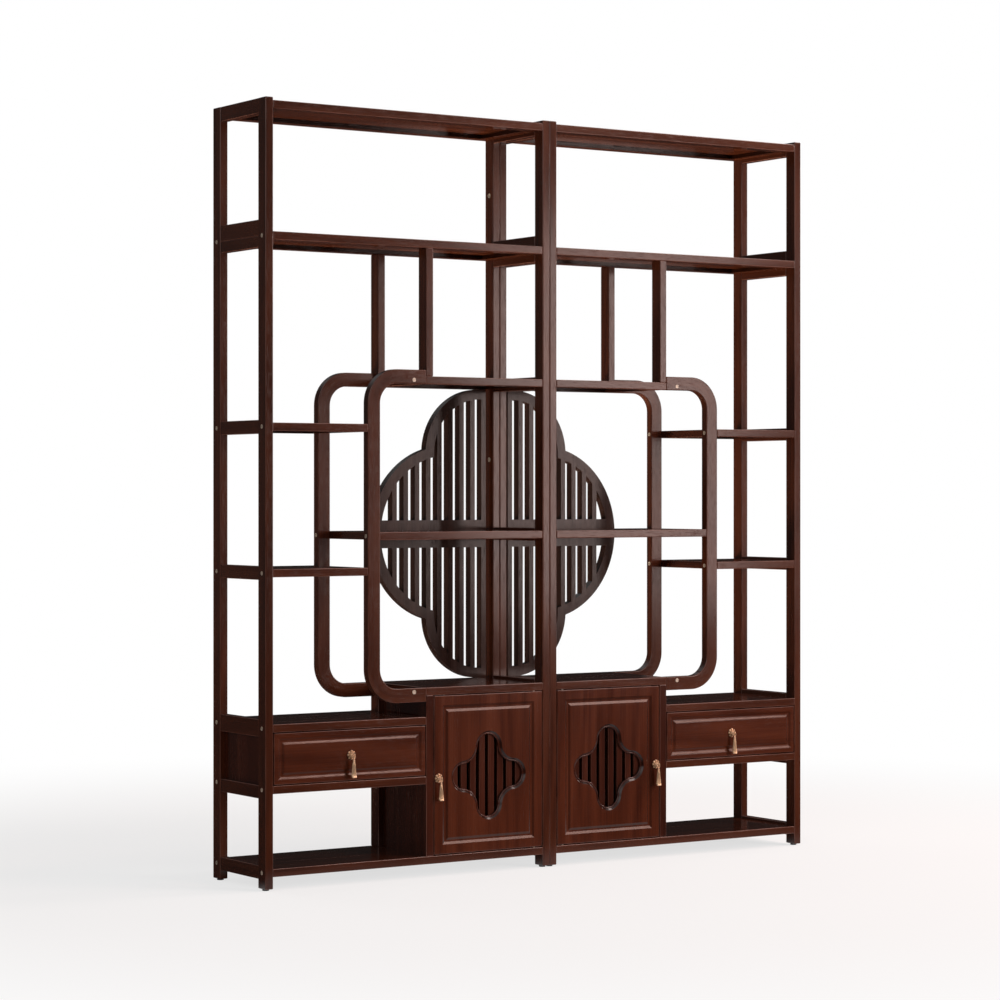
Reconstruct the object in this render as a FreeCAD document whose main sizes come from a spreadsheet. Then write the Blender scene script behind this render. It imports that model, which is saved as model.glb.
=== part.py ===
import FreeCAD, Part
import math
import os
import re
import Sketcher

# Tea cabinet of two mirror-image open units that stand side by side and are bolted together.
# Millimetres. X runs along the front, Y towards the rear and Z up from the floor.
# The left unit lies at negative X, and the right unit is its mirror image.

SIZES = {
    # Outer size of one unit
    "unit_width": 800,
    "case_height": 1846,
    "case_depth": 260,
    # Posts and feet
    "post_width": 21,
    "post_depth": 36,
    "post_rounding": 2.5,
    "glide_radius": 8,
    "glide_height": 4,
    # Boards: a frame of rails with a thinner panel flush with its top
    "board_thickness": 19,
    "board_frame_width": 36,
    "board_panel_thickness": 9,
    "edge_rounding": 2,
    # Levels of the boards' top faces, most of them as shares of the case's height
    "top_drop": 7,
    "upper_shelf_share": 0.831,
    "arch_shelf_share": 0.6533,
    "outer_high_share": 0.59,
    "middle_shelf_share": 0.4507,
    "outer_low_share": 0.4052,
    "cupboard_top_share": 0.2476,
    "drawer_top_share": 0.2096,
    "drawer_deck_share": 0.1322,
    "bottom_shelf_level": 51,
    # Side rails between the posts
    "rail_setback": 1.5,
    "rail_height": 32,
    "top_rail_height": 35,
    "gallery_below": 27,
    "gallery_above": 38,
    "drawer_rail_height": 41,
    "deck_rail_height": 31,
    # Arch: half of a round-cornered frame across both units
    "arch_span": 523,
    "arch_reach": 163,
    "arch_face": 34,
    "arch_thickness": 22,
    "arch_radius": 82,
    "arch_rounding": 2,
    # Cupboard, dividers and panels
    "partition_thickness": 21,
    "divider_width": 20,
    "divider_depth": 36,
    "panel_thickness": 9,
    "back_thickness": 6,
    "back_setback": 4,
    # Lattice plates: quarters of a quatrefoil with upright bars, sized as shares of half their height
    "lattice_thickness": 22,
    "lattice_inner_edge": 33.5,
    "lattice_rim": 25,
    "bar_width": 13.5,
    "bar_pitch": 33,
    "lobe_radius_share": 0.444,
    "lobe_shift_share": 0.14,
    "side_lobe_radius_share": 0.608,
    "side_lobe_offset_share": 0.403,
    "dowel_radius": 4,
    "dowel_bite": 12,
    "dowel_shelf_bite": 9,
    "near_dowel_share": 0.3,
    "far_dowel_share": 0.72,
    # Routed groove of the drawer front and the door
    "groove_width": 16,
    "groove_flat": 4,
    "groove_depth": 2.6,
    # Drawer
    "drawer_gap": 2,
    "drawer_front_thickness": 18,
    "drawer_groove_inset": 11.5,
    "drawer_side_gap": 4,
    "drawer_side_thickness": 12,
    "drawer_bottom_thickness": 6,
    "drawer_bottom_lift": 5,
    "drawer_box_lift": 8,
    "drawer_headroom": 24,
    "drawer_rear_room": 30,
    "runner_height": 12,
    "runner_grip": 6,
    "runner_slack": 0.4,
    # Door
    "door_gap": 2,
    "door_thickness": 18,
    "door_groove_inset": 23.5,
    "door_centre_drop": 7,
    "foil_lobe_radius_share": 0.1328,
    "foil_lobe_offset_share": 0.2982,
    "foil_shoulder_share": 0.3197,
    "foil_bevel": 7,
    "grille_thickness": 8,
    "grille_lap": 11,
    "grille_slack": 0.3,
    "grille_gap": 10,
    "grille_pitch": 26.5,
    # Door pivots, bushings and catch
    "pivot_inset": 20,
    "pivot_setback": 8,
    "pin_radius": 2.5,
    "pin_seat": 14,
    "bushing_radius": 4,
    "bushing_length": 9,
    "pin_reach": 7,
    "pin_running_gap": 0.05,
    "catch_width": 30,
    "catch_depth": 14,
    "catch_height": 12,
    "catch_offset": 12,
    "strike_thickness": 1.5,
    "strike_gap": 0.5,
    # Tassel pulls
    "pull_inset": 11.5,
    "rose_radius": 8.4,
    "petal_radius": 3.3,
    "petal_offset": 7.2,
    "rose_thickness": 2.5,
    "rose_boss_radius": 6,
    "rose_boss_height": 4,
    "stem_radius": 2.2,
    "eye_reach": 13,
    "eye_radius": 4,
    "eye_width": 4,
    "eye_hole_radius": 1.6,
    "ring_radius": 6.5,
    "ring_wire_radius": 0.9,
    "tassel_cap_radius": 2.6,
    "tassel_waist_radius": 4,
    "tassel_skirt_radius": 5.5,
    "tassel_rim_radius": 7,
    "tassel_neck_length": 9,
    "tassel_skirt_length": 24,
    "tassel_flare_length": 4,
    "tassel_rim_length": 2,
    # Fasteners
    "bolt_length": 51,
    "bolt_head_radius": 5,
    "bolt_head_height": 3,
    "bolt_shank_radius": 2.5,
    "bolt_socket_radius": 2.6,
    "bolt_socket_depth": 2,
    "fastener_slack": 0.2,
    "tip_room": 2,
    "cam_radius": 5,
    "cam_depth": 13,
    "cam_distance": 34,
    "cam_slot_width": 1.6,
    "cam_slot_depth": 1.5,
    "cam_pin_radius": 2.8,
    "cam_pin_gap": 1,
    "cam_pin_bite": 24,
    "joining_head_radius": 6,
    "joining_shank_radius": 3,
    "joining_upper_share": 0.91,
    "joining_middle_share": 0.547,
    "joining_lower_share": 0.195,
    "joining_bottom_share": 0.0704,
}

# Values worked out from the sizes above, for the left unit
DERIVED = {
    "pull_reach": "eye_reach + tassel_rim_radius",
    "case_front": "-(case_depth - pull_reach) / 2",
    "case_rear": "case_front + case_depth",
    "front_post_back": "case_front + post_depth",
    "rear_post_front": "case_rear - post_depth",
    "outer_side": "-unit_width",
    "outer_inside": "post_width - unit_width",
    "inner_inside": "-post_width",
    "front_post_middle": "case_front + post_depth / 2",
    "rear_post_middle": "case_rear - post_depth / 2",
    "top_level": "case_height - top_drop",
    "upper_shelf_level": "case_height * upper_shelf_share",
    "arch_shelf_level": "case_height * arch_shelf_share",
    "outer_high_level": "case_height * outer_high_share",
    "middle_shelf_level": "case_height * middle_shelf_share",
    "outer_low_level": "case_height * outer_low_share",
    "cupboard_top_level": "case_height * cupboard_top_share",
    "drawer_top_level": "case_height * drawer_top_share",
    "drawer_deck_level": "case_height * drawer_deck_share",
    "joining_upper_level": "case_height * joining_upper_share",
    "joining_middle_level": "case_height * joining_middle_share",
    "joining_lower_level": "case_height * joining_lower_share",
    "joining_bottom_level": "case_height * joining_bottom_share",
    "arch_outside": "-arch_span",
    "arch_inside": "arch_face - arch_span",
    "arch_underside": "arch_shelf_level - board_thickness",
    "arch_top": "arch_underside + arch_face",
    "arch_bottom": "cupboard_top_level - arch_face",
    "front_arch_middle": "case_front + arch_thickness / 2",
    "rear_arch_middle": "case_rear - arch_thickness / 2",
    "cupboard_span": "arch_span - arch_reach",
    "partition_outside": "-cupboard_span",
    "partition_inside": "partition_thickness - cupboard_span",
    "cupboard_ceiling": "cupboard_top_level - board_thickness",
    "middle_underside": "middle_shelf_level - board_thickness",
    "lattice_middle": "middle_shelf_level - board_thickness / 2",
    "lattice_front": "case_rear - lattice_thickness",
    "lattice_half": "(arch_underside - cupboard_top_level) / 2",
    "lobe_radius": "lattice_half * lobe_radius_share",
    "lobe_shift": "lattice_half * lobe_shift_share",
    "side_lobe_radius": "lattice_half * side_lobe_radius_share",
    "side_lobe_offset": "lattice_half * side_lobe_offset_share",
    "lattice_reach": "side_lobe_offset + side_lobe_radius",
    "door_left": "partition_inside + door_gap",
    "door_right": "inner_inside - door_gap",
    "door_bottom": "bottom_shelf_level + door_gap",
    "door_top": "cupboard_ceiling - door_gap",
    "door_width": "door_right - door_left",
    "door_height": "door_top - door_bottom",
    "door_back": "case_front + door_thickness",
    "door_centre_x": "(door_left + door_right) / 2",
    "door_centre_z": "(door_bottom + door_top) / 2 - door_centre_drop",
    "door_field_width": "door_width - 2 * (door_groove_inset + groove_width)",
    "door_field_height": "door_height - 2 * (door_groove_inset + groove_width + door_centre_drop)",
    "foil_field": "min(door_field_width; door_field_height)",
    "foil_lobe_radius": "foil_field * foil_lobe_radius_share",
    "foil_lobe_offset": "foil_field * foil_lobe_offset_share",
    "foil_shoulder": "foil_field * foil_shoulder_share",
    "foil_reach": "foil_lobe_offset + foil_lobe_radius + foil_bevel",
    "grille_half": "foil_reach + grille_lap",
    "pivot_x": "door_right - pivot_inset",
    "pivot_y": "case_front + pivot_setback",
    "drawer_left": "outer_inside + drawer_gap",
    "drawer_right": "partition_outside - drawer_gap",
    "drawer_bottom": "drawer_deck_level + drawer_gap",
    "drawer_top": "drawer_top_level - board_thickness - drawer_gap",
    "drawer_width": "drawer_right - drawer_left",
    "drawer_height": "drawer_top - drawer_bottom",
    "drawer_front_back": "case_front + drawer_front_thickness",
    "drawer_box_back": "case_rear - drawer_rear_room",
    "drawer_box_floor": "drawer_deck_level + drawer_box_lift",
    "drawer_box_top": "drawer_top_level - board_thickness - drawer_headroom",
    "drawer_side_left": "outer_inside + drawer_side_gap",
    "drawer_side_right": "partition_outside - drawer_side_gap",
    "runner_middle": "(drawer_box_floor + drawer_box_top) / 2",
    "runner_reach": "drawer_side_gap + runner_grip",
    "eye_y": "case_front - eye_reach",
}

doc = FreeCAD.newDocument("tea_cabinet")
sheet = doc.addObject("Spreadsheet::Sheet", "Sizes")
rows = {**SIZES, **DERIVED}
for row, alias in enumerate(rows, start=1):
    sheet.set(f"A{row}", alias)
    sheet.setAlias(f"B{row}", alias)
for row, entry in enumerate(rows.values(), start=1):
    sheet.set(f"B{row}", f"={entry}")
doc.recompute()

nodes = []


# Helpers: expressions, placing, solids and grouping

def formula(text):
    """Point every named size at its cell in the sheet."""
    def spell(match):
        word = match.group(0)
        return "Sizes." + word if word in rows else word
    return re.sub(r"[a-z_]+", spell, text)


def value(name):
    return float(sheet.get(name))


def bind(item, **values):
    for setting, text in values.items():
        item.setExpression(setting, formula(text))


def place(item, x="0", y="0", z="0"):
    for letter, text in zip("xyz", (x, y, z)):
        item.setExpression("Placement.Base." + letter, formula(text))


def length(span):
    return f"({span[1]}) - ({span[0]})"


def block(name, xs, ys, zs):
    """Square-edged box between three pairs of limits."""
    box = doc.addObject("Part::Box", name)
    bind(box, Length=length(xs), Width=length(ys), Height=length(zs))
    place(box, xs[0], ys[0], zs[0])
    return box


def board(name, xs, ys, zs, rounding="edge_rounding"):
    """Box with all its edges rounded, in a body whose origin is the box's low corner."""
    body = doc.addObject("PartDesign::Body", name)
    stock = body.newObject("PartDesign::AdditiveBox", name + "_stock")
    bind(stock, Length=length(xs), Width=length(ys), Height=length(zs))
    edges = body.newObject("PartDesign::Fillet", name + "_edges")
    edges.Base = (stock, [f"Edge{number}" for number in range(1, 13)])
    bind(edges, Radius=rounding)
    place(body, xs[0], ys[0], zs[0])
    return body


def shelf(name, xs, level):
    """Full-depth board whose underside is recessed inside its frame."""
    body = board(name, xs, ("case_front", "case_rear"), (f"{level} - board_thickness", level))
    recess = body.newObject("PartDesign::SubtractiveBox", name + "_recess")
    bind(
        recess,
        Length=f"{length(xs)} - 2 * board_frame_width",
        Width="case_depth - 2 * board_frame_width",
        Height="board_thickness - board_panel_thickness",
    )
    place(recess, "board_frame_width", "board_frame_width")
    return body


AXIS_TURNS = {
    "x": FreeCAD.Rotation(FreeCAD.Vector(0, 1, 0), 90),
    "y": FreeCAD.Rotation(FreeCAD.Vector(1, 0, 0), -90),
    "z": FreeCAD.Rotation(),
}


def along(item, axis, start, across):
    """Lay an item that grows along its own Z along another axis, from start, at two other places."""
    item.Placement = FreeCAD.Placement(FreeCAD.Vector(), AXIS_TURNS[axis])
    spots = dict(zip([letter for letter in "xyz" if letter != axis], across))
    spots[axis] = start
    place(item, spots["x"], spots["y"], spots["z"])
    return item


def rod(name, axis, span, across, radius):
    cylinder = doc.addObject("Part::Cylinder", name)
    bind(cylinder, Radius=radius, Height=length(span))
    return along(cylinder, axis, span[0], across)


def taper(name, axis, span, across, first_radius, last_radius):
    cone = doc.addObject("Part::Cone", name)
    bind(cone, Radius1=first_radius, Radius2=last_radius, Height=length(span))
    return along(cone, axis, span[0], across)


def fused(name, *items):
    union = doc.addObject("Part::MultiFuse", name)
    union.Shapes = list(items)
    return union


def cut(name, base, tool):
    difference = doc.addObject("Part::Cut", name)
    difference.Base = base
    difference.Tool = tool
    return difference


def shared(name, base, tool):
    common = doc.addObject("Part::Common", name)
    common.Base = base
    common.Tool = tool
    return common


def grouped(name, items):
    group = doc.addObject("Part::Compound", name)
    group.Links = list(items)
    return group


def mirror(name, source):
    image = doc.addObject("Part::Mirroring", name)
    image.Source = source
    image.Normal = FreeCAD.Vector(1, 0, 0)
    return image


def keep(item, label):
    """Take an object as a finished sub-part under its own label."""
    item.Label = label
    nodes.append(item)


def keep_pair(item, label):
    """Keep a left-hand piece and its mirror image for the right-hand unit."""
    keep(item, "left_" + label)
    keep(mirror("right_" + label, item), "right_" + label)


def keep_both(items, label):
    """Keep the pieces of both units together as one sub-part."""
    left = grouped(label + "_left", items)
    keep(grouped(label, [left, mirror(label + "_right", left)]), label)


def ordered(sense, near, far):
    return (near, far) if sense == "+" else (far, near)


def stepped(name, face, sense, across, slack, room):
    """Headed bolt along X from a face inwards, or the hole for one when slack and room are given."""
    head_end = f"{face} {sense} bolt_head_height"
    tip = f"{face} {sense} (bolt_length + {room})"
    head_span = ordered(sense, face, head_end)
    shank_span = ordered(sense, head_end, tip)
    head = rod(name + "_head", "x", head_span, across, f"bolt_head_radius + {slack}")
    shank = rod(name + "_shank", "x", shank_span, across, f"bolt_shank_radius + {slack}")
    return fused(name, head, shank)


# Fasteners and the holes that they sit in

holes = []


def connector_bolt(name, face, sense, across):
    """Bolt with a hexagon socket in its head, and the hole that it sits in."""
    bolt = stepped(name + "_bolt", face, sense, across, "0", "0")
    holes.append(stepped(name + "_hole", face, sense, across, "fastener_slack", "tip_room"))
    socket = doc.addObject("Part::Prism", name + "_socket")
    socket.Polygon = 6
    bind(socket, Circumradius="bolt_socket_radius", Height="bolt_socket_depth")
    floor = f"{face} {sense} bolt_socket_depth"
    along(socket, "x", ordered(sense, face, floor)[0], across)
    return cut(name, bolt, socket)


def board_middle(level):
    return f"{level} - board_thickness / 2"


OUTER_BOLT_LEVELS = (
    "upper_shelf_level",
    "outer_high_level",
    "outer_low_level",
    "drawer_top_level",
    "drawer_deck_level",
    "bottom_shelf_level",
)
INNER_BOLT_LEVELS = (
    "upper_shelf_level",
    "arch_shelf_level",
    "middle_shelf_level",
    "cupboard_top_level",
    "bottom_shelf_level",
)
ARCH_BOLTS = (
    ("outer_high_level", "arch_inside", "-"),
    ("outer_low_level", "arch_inside", "-"),
    ("middle_shelf_level", "arch_outside", "+"),
)

fittings = []
for row_name, row_y in (("front", "front_post_middle"), ("rear", "rear_post_middle")):
    for level in OUTER_BOLT_LEVELS:
        name = f"bolt_outer_{row_name}_{level}"
        fittings.append(connector_bolt(name, "outer_side", "+", (row_y, board_middle(level))))
    for level in INNER_BOLT_LEVELS:
        name = f"bolt_inner_{row_name}_{level}"
        fittings.append(connector_bolt(name, "0", "-", (row_y, board_middle(level))))
for row_name, row_y in (("front", "front_arch_middle"), ("rear", "rear_arch_middle")):
    for level, face, sense in ARCH_BOLTS:
        name = f"bolt_arch_{row_name}_{level}"
        fittings.append(connector_bolt(name, face, sense, (row_y, board_middle(level))))


def cam_lock(name, face, sense, row_y, level):
    """Cam in an arch arm's face and the pin that it pulls out of the shelf's end."""
    middle = board_middle(level)
    cam_x = "partition_outside - cam_distance"
    span = ordered(sense, face, f"{face} {sense} cam_depth")
    cam = rod(name + "_cam_disc", "y", span, (cam_x, middle), "cam_radius")
    slot_span = ordered(sense, face, f"{face} {sense} cam_slot_depth")
    slot_zs = (f"{middle} - cam_slot_width / 2", f"{middle} + cam_slot_width / 2")
    slot = block(name + "_slot", (f"{cam_x} - cam_radius", f"{cam_x} + cam_radius"), slot_span, slot_zs)
    pin_end = "partition_outside + cam_pin_bite"
    pin_span = (f"{cam_x} + cam_radius + cam_pin_gap", pin_end)
    pin = rod(name + "_pin", "x", pin_span, (row_y, middle), "cam_pin_radius")
    holes.append(rod(name + "_cam_hole", "y", span, (cam_x, middle), "cam_radius + fastener_slack"))
    hole_span = (cam_x, pin_end)
    holes.append(rod(name + "_pin_hole", "x", hole_span, (row_y, middle), "cam_pin_radius + fastener_slack"))
    return [cut(name, cam, slot), pin]


for level in ("arch_shelf_level", "cupboard_top_level"):
    fittings += cam_lock(f"cam_front_{level}", "case_front", "+", "front_arch_middle", level)
    fittings += cam_lock(f"cam_rear_{level}", "case_rear", "-", "rear_arch_middle", level)
keep_both(fittings, "knockdown_fittings")

# Dowels that hold the lattice plates to the shelves above, between and below them
EDGE_BAR_X = "-(lattice_inner_edge + bar_width / 2)"
THROUGH_SHELF_ZS = ("middle_underside - dowel_bite", "middle_shelf_level + dowel_bite")
DOWELS = {
    "upper": (EDGE_BAR_X, ("arch_underside - dowel_bite", "arch_underside + dowel_shelf_bite")),
    "near": ("-lattice_reach * near_dowel_share", THROUGH_SHELF_ZS),
    "far": ("-lattice_reach * far_dowel_share", THROUGH_SHELF_ZS),
    "lower": (EDGE_BAR_X, ("cupboard_top_level - dowel_shelf_bite", "cupboard_top_level + dowel_bite")),
}
dowels = []
for spot, (x, zs) in DOWELS.items():
    across = (x, "(lattice_front + case_rear) / 2")
    dowels.append(rod("lattice_dowel_" + spot, "z", zs, across, "dowel_radius"))
    hole_radius = "dowel_radius + fastener_slack"
    holes.append(rod(f"lattice_dowel_{spot}_hole", "z", zs, across, hole_radius))
keep_both(dowels, "lattice_dowels")


def joining_bolt(name, row_y, level):
    """Flush sleeve bolt through both units' inner posts."""
    across = (row_y, level)
    inner_end = "inner_inside + bolt_head_height"
    head_left = rod(name + "_head", "x", ("inner_inside", inner_end), across, "joining_head_radius")
    shank_span = (inner_end, "post_width - bolt_head_height")
    shank = rod(name + "_shank", "x", shank_span, across, "joining_shank_radius")
    head_hole_radius = "joining_head_radius + fastener_slack"
    holes.append(rod(name + "_head_hole", "x", ("inner_inside", inner_end), across, head_hole_radius))
    shank_hole_radius = "joining_shank_radius + fastener_slack"
    holes.append(rod(name + "_shank_hole", "x", (inner_end, "0"), across, shank_hole_radius))
    return fused(name, head_left, shank, mirror(name + "_far_head", head_left))


keep(
    grouped("joining_bolts", [
        joining_bolt("join_upper", "rear_post_middle", "joining_upper_level"),
        joining_bolt("join_middle", "rear_post_middle", "joining_middle_level"),
        joining_bolt("join_lower", "front_post_middle", "joining_lower_level"),
        joining_bolt("join_bottom", "front_post_middle", "joining_bottom_level"),
    ]),
    "joining_bolts",
)

# Pivot bushings, let into the cupboard top and the bottom shelf
pivot_spot = ("pivot_x", "pivot_y")
BUSHING_SPANS = {
    "upper": ("cupboard_ceiling", "cupboard_ceiling + bushing_length"),
    "lower": ("bottom_shelf_level - bushing_length", "bottom_shelf_level"),
}
bushings = []
for spot, span in BUSHING_SPANS.items():
    name = f"bushing_{spot}"
    sleeve = rod(name + "_sleeve", "z", span, pivot_spot, "bushing_radius")
    bore = rod(name + "_bore", "z", span, pivot_spot, "pin_radius + pin_running_gap")
    bushings.append(cut(name, sleeve, bore))
    holes.append(rod(name + "_hole", "z", span, pivot_spot, "bushing_radius + fastener_slack"))
keep_both(bushings, "door_bushings")

drilling = grouped("drilling", holes)


def drilled(stock, label):
    keep_pair(cut("left_" + label, stock, drilling), label)


# Posts and foot glides

OUTER_POST_XS = ("outer_side", "outer_inside")
INNER_POST_XS = ("inner_inside", "0")
FRONT_POST_YS = ("case_front", "front_post_back")
REAR_POST_YS = ("rear_post_front", "case_rear")
POST_ZS = ("glide_height", "case_height")
POSTS = {
    "front_outer_post": (OUTER_POST_XS, FRONT_POST_YS),
    "rear_outer_post": (OUTER_POST_XS, REAR_POST_YS),
    "front_inner_post": (INNER_POST_XS, FRONT_POST_YS),
    "rear_inner_post": (INNER_POST_XS, REAR_POST_YS),
}
glides = []
for label, (xs, ys) in POSTS.items():
    drilled(board(label + "_stock", xs, ys, POST_ZS, "post_rounding"), label)
    middle_x = f"({xs[0]} + {xs[1]}) / 2"
    middle_y = f"({ys[0]} + {ys[1]}) / 2"
    glides.append(rod(label + "_glide", "z", ("0", "glide_height"), (middle_x, middle_y), "glide_radius"))
keep_both(glides, "foot_glides")

# Side rails, the rungs between front and rear posts

RAIL_YS = ("front_post_back", "rear_post_front")
OUTER_RAIL_XS = ("outer_side + rail_setback", "outer_inside")
INNER_RAIL_XS = ("inner_inside", "-rail_setback")


def centred(level, height):
    middle = board_middle(level)
    return (f"{middle} - {height} / 2", f"{middle} + {height} / 2")


gallery_seam = board_middle("upper_shelf_level")
SHARED_RAILS = {
    "top": ("case_height - top_rail_height", "case_height"),
    "gallery_lower": (f"{gallery_seam} - gallery_below", gallery_seam),
    "gallery_upper": (gallery_seam, f"{gallery_seam} + gallery_above"),
    "bottom": centred("bottom_shelf_level", "rail_height"),
}
OUTER_RAILS = {
    **SHARED_RAILS,
    "high": centred("outer_high_level", "rail_height"),
    "low": centred("outer_low_level", "rail_height"),
    "drawer": centred("drawer_top_level", "drawer_rail_height"),
    "deck": ("drawer_deck_level - deck_rail_height", "drawer_deck_level"),
}
INNER_RAILS = {
    **SHARED_RAILS,
    "arch": centred("arch_shelf_level", "rail_height"),
    "middle": centred("middle_shelf_level", "rail_height"),
    "cupboard": centred("cupboard_top_level", "rail_height"),
}
rails = [board("outer_rail_" + name, OUTER_RAIL_XS, RAIL_YS, zs) for name, zs in OUTER_RAILS.items()]
rails += [board("inner_rail_" + name, INNER_RAIL_XS, RAIL_YS, zs) for name, zs in INNER_RAILS.items()]
keep_pair(grouped("left_side_rails", rails), "side_rails")

# Boards and shelves

FULL_XS = ("outer_inside", "inner_inside")
CUPBOARD_XS = ("partition_outside", "inner_inside")
OUTER_BAY_XS = ("outer_inside", "arch_outside")
DRAWER_BAY_XS = ("outer_inside", "partition_outside")

drilled(shelf("top_board_stock", FULL_XS, "top_level"), "top_board")
drilled(shelf("upper_shelf_stock", FULL_XS, "upper_shelf_level"), "upper_shelf")
drilled(shelf("arch_shelf_stock", CUPBOARD_XS, "arch_shelf_level"), "arch_shelf")
drilled(shelf("middle_shelf_stock", ("arch_inside", "inner_inside"), "middle_shelf_level"), "middle_shelf")
drilled(shelf("cupboard_top_stock", CUPBOARD_XS, "cupboard_top_level"), "cupboard_top")
drilled(shelf("bottom_shelf_stock", FULL_XS, "bottom_shelf_level"), "bottom_shelf")
outer_shelves = [
    shelf("outer_high_shelf", OUTER_BAY_XS, "outer_high_level"),
    shelf("outer_low_shelf", OUTER_BAY_XS, "outer_low_level"),
]
drilled(grouped("outer_shelves_stock", outer_shelves), "outer_shelves")
drawer_boards = [
    shelf("drawer_top_board", DRAWER_BAY_XS, "drawer_top_level"),
    shelf("drawer_deck", DRAWER_BAY_XS, "drawer_deck_level"),
]
drilled(grouped("drawer_case_boards_stock", drawer_boards), "drawer_case_boards")

# Arches: an upright with a round-cornered arm above and below


def upright_edges(shape, at_x, tolerance=0.01):
    """Names of the edges that run front to back at a given distance along X."""
    names = []
    for number, edge in enumerate(shape.Edges, start=1):
        box = edge.BoundBox
        runs_back = box.YLength > tolerance and box.XLength < tolerance and box.ZLength < tolerance
        if runs_back and abs(box.XMin - at_x) < tolerance:
            names.append(f"Edge{number}")
    return names


def arch(name, ys):
    body = doc.addObject("PartDesign::Body", name)
    stock = body.newObject("PartDesign::AdditiveBox", name + "_stock")
    bind(stock, Length="arch_span - cupboard_span", Width=length(ys), Height="arch_top - arch_bottom")
    hollow = body.newObject("PartDesign::SubtractiveBox", name + "_hollow")
    bind(
        hollow,
        Length="arch_span - cupboard_span - arch_face",
        Width=length(ys),
        Height="arch_top - arch_bottom - 2 * arch_face",
    )
    place(hollow, "arch_face", "0", "arch_face")
    doc.recompute()
    outer_corners = body.newObject("PartDesign::Fillet", name + "_outer_corners")
    outer_corners.Base = (hollow, upright_edges(hollow.Shape, 0))
    bind(outer_corners, Radius="arch_radius")
    doc.recompute()
    inner_corners = body.newObject("PartDesign::Fillet", name + "_inner_corners")
    inner_corners.Base = (outer_corners, upright_edges(outer_corners.Shape, value("arch_face")))
    bind(inner_corners, Radius="arch_radius - arch_face")
    edges = body.newObject("PartDesign::Fillet", name + "_edges")
    edges.Base = (inner_corners, [])
    edges.UseAllEdges = True
    bind(edges, Radius="arch_rounding")
    place(body, "arch_outside", ys[0], "arch_bottom")
    return body


drilled(arch("front_arch_stock", ("case_front", "case_front + arch_thickness")), "front_arch")
drilled(arch("rear_arch_stock", ("case_rear - arch_thickness", "case_rear")), "rear_arch")

# Dividers between the upper shelf and the arch shelf

DIVIDER_XS = ("partition_outside", "partition_outside + divider_width")
DIVIDER_ZS = ("arch_shelf_level", "upper_shelf_level - board_thickness")
dividers = [
    board("front_divider", DIVIDER_XS, ("case_front", "case_front + divider_depth"), DIVIDER_ZS),
    board("rear_divider", DIVIDER_XS, ("case_rear - divider_depth", "case_rear"), DIVIDER_ZS),
]
keep_both(dividers, "dividers")

# Partition, side panels and backs round the cupboard and the drawer bay

PARTITION_XS = ("partition_outside", "partition_inside")
PARTITION_ZS = ("bottom_shelf_level", "cupboard_ceiling")
BACK_YS = ("case_rear - back_setback - back_thickness", "case_rear - back_setback")
bottom_rail_top = SHARED_RAILS["bottom"][1]
case_panels = [
    board("partition_front_stile", PARTITION_XS, FRONT_POST_YS, PARTITION_ZS),
    board("partition_rear_stile", PARTITION_XS, REAR_POST_YS, PARTITION_ZS),
    block(
        "partition_panel",
        ("partition_inside - panel_thickness", "partition_inside"),
        RAIL_YS,
        PARTITION_ZS,
    ),
    block(
        "drawer_side_panel",
        ("outer_inside - panel_thickness", "outer_inside"),
        RAIL_YS,
        ("drawer_deck_level", OUTER_RAILS["drawer"][0]),
    ),
    block(
        "cupboard_side_panel",
        ("inner_inside", "inner_inside + panel_thickness"),
        RAIL_YS,
        (bottom_rail_top, INNER_RAILS["cupboard"][0]),
    ),
    block("cupboard_back", ("partition_inside", "inner_inside"), BACK_YS, PARTITION_ZS),
    block(
        "drawer_back",
        DRAWER_BAY_XS,
        BACK_YS,
        ("drawer_deck_level", "drawer_top_level - board_thickness"),
    ),
]
keep_pair(grouped("left_case_panels", case_panels), "case_panels")

# Lattice plates, above and below the middle shelf: quarters of a quatrefoil with a rim and upright bars

LATTICE_YS = ("lattice_front", "case_rear")
PLATES = {
    "upper": ("+", "middle_shelf_level", "arch_underside"),
    "lower": ("-", "middle_underside", "cupboard_top_level"),
}


def quarter_foil(name, plate, rim, inner_edge):
    """Quarter of a quatrefoil, drawn in from its edges by a rim and ending at an inner edge."""
    sense, near, far = plate
    back = "-" if sense == "+" else "+"
    lobe_level = f"{far} {back} lobe_radius"
    side_centre = ("-side_lobe_offset", "lattice_middle")
    flank_x = f"-(lobe_shift + lobe_radius - {rim})"
    lobes = [
        rod(name + "_lobe", "y", LATTICE_YS, ("-lobe_shift", lobe_level), f"lobe_radius - {rim}"),
        rod(name + "_side_lobe", "y", LATTICE_YS, side_centre, f"side_lobe_radius - {rim}"),
        block(name + "_stem", ("-lobe_shift", "0"), LATTICE_YS, ordered(sense, near, far)),
        block(name + "_flank", (flank_x, "0"), LATTICE_YS, ordered(sense, near, lobe_level)),
    ]
    limit_zs = ordered(sense, f"{near} {sense} {rim}", f"{far} {back} {rim}")
    limit = block(name + "_limit", ("-lattice_reach", f"-({inner_edge})"), LATTICE_YS, limit_zs)
    return shared(name, fused(name + "_lobes", *lobes), limit)


def lattice_plate(name, plate):
    outline = quarter_foil(name + "_outline", plate, "0", "lattice_inner_edge")
    field = quarter_foil(name + "_field", plate, "lattice_rim", "lattice_inner_edge + bar_width")
    sense, near, far = plate
    bar_zs = ordered(sense, near, far)
    bar_room = value("lattice_reach") - value("lattice_rim") - value("lattice_inner_edge")
    bar_count = int(bar_room / value("bar_pitch") - 0.5)
    bars = []
    for count in range(1, bar_count + 1):
        bar_edge = f"-(lattice_inner_edge + {count} * bar_pitch)"
        bar_xs = (f"{bar_edge} - bar_width", bar_edge)
        bars.append(block(f"{name}_bar_{count}", bar_xs, LATTICE_YS, bar_zs))
    openings = cut(name + "_openings", field, grouped(name + "_bars", bars))
    return cut(name + "_plate", outline, openings)


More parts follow.
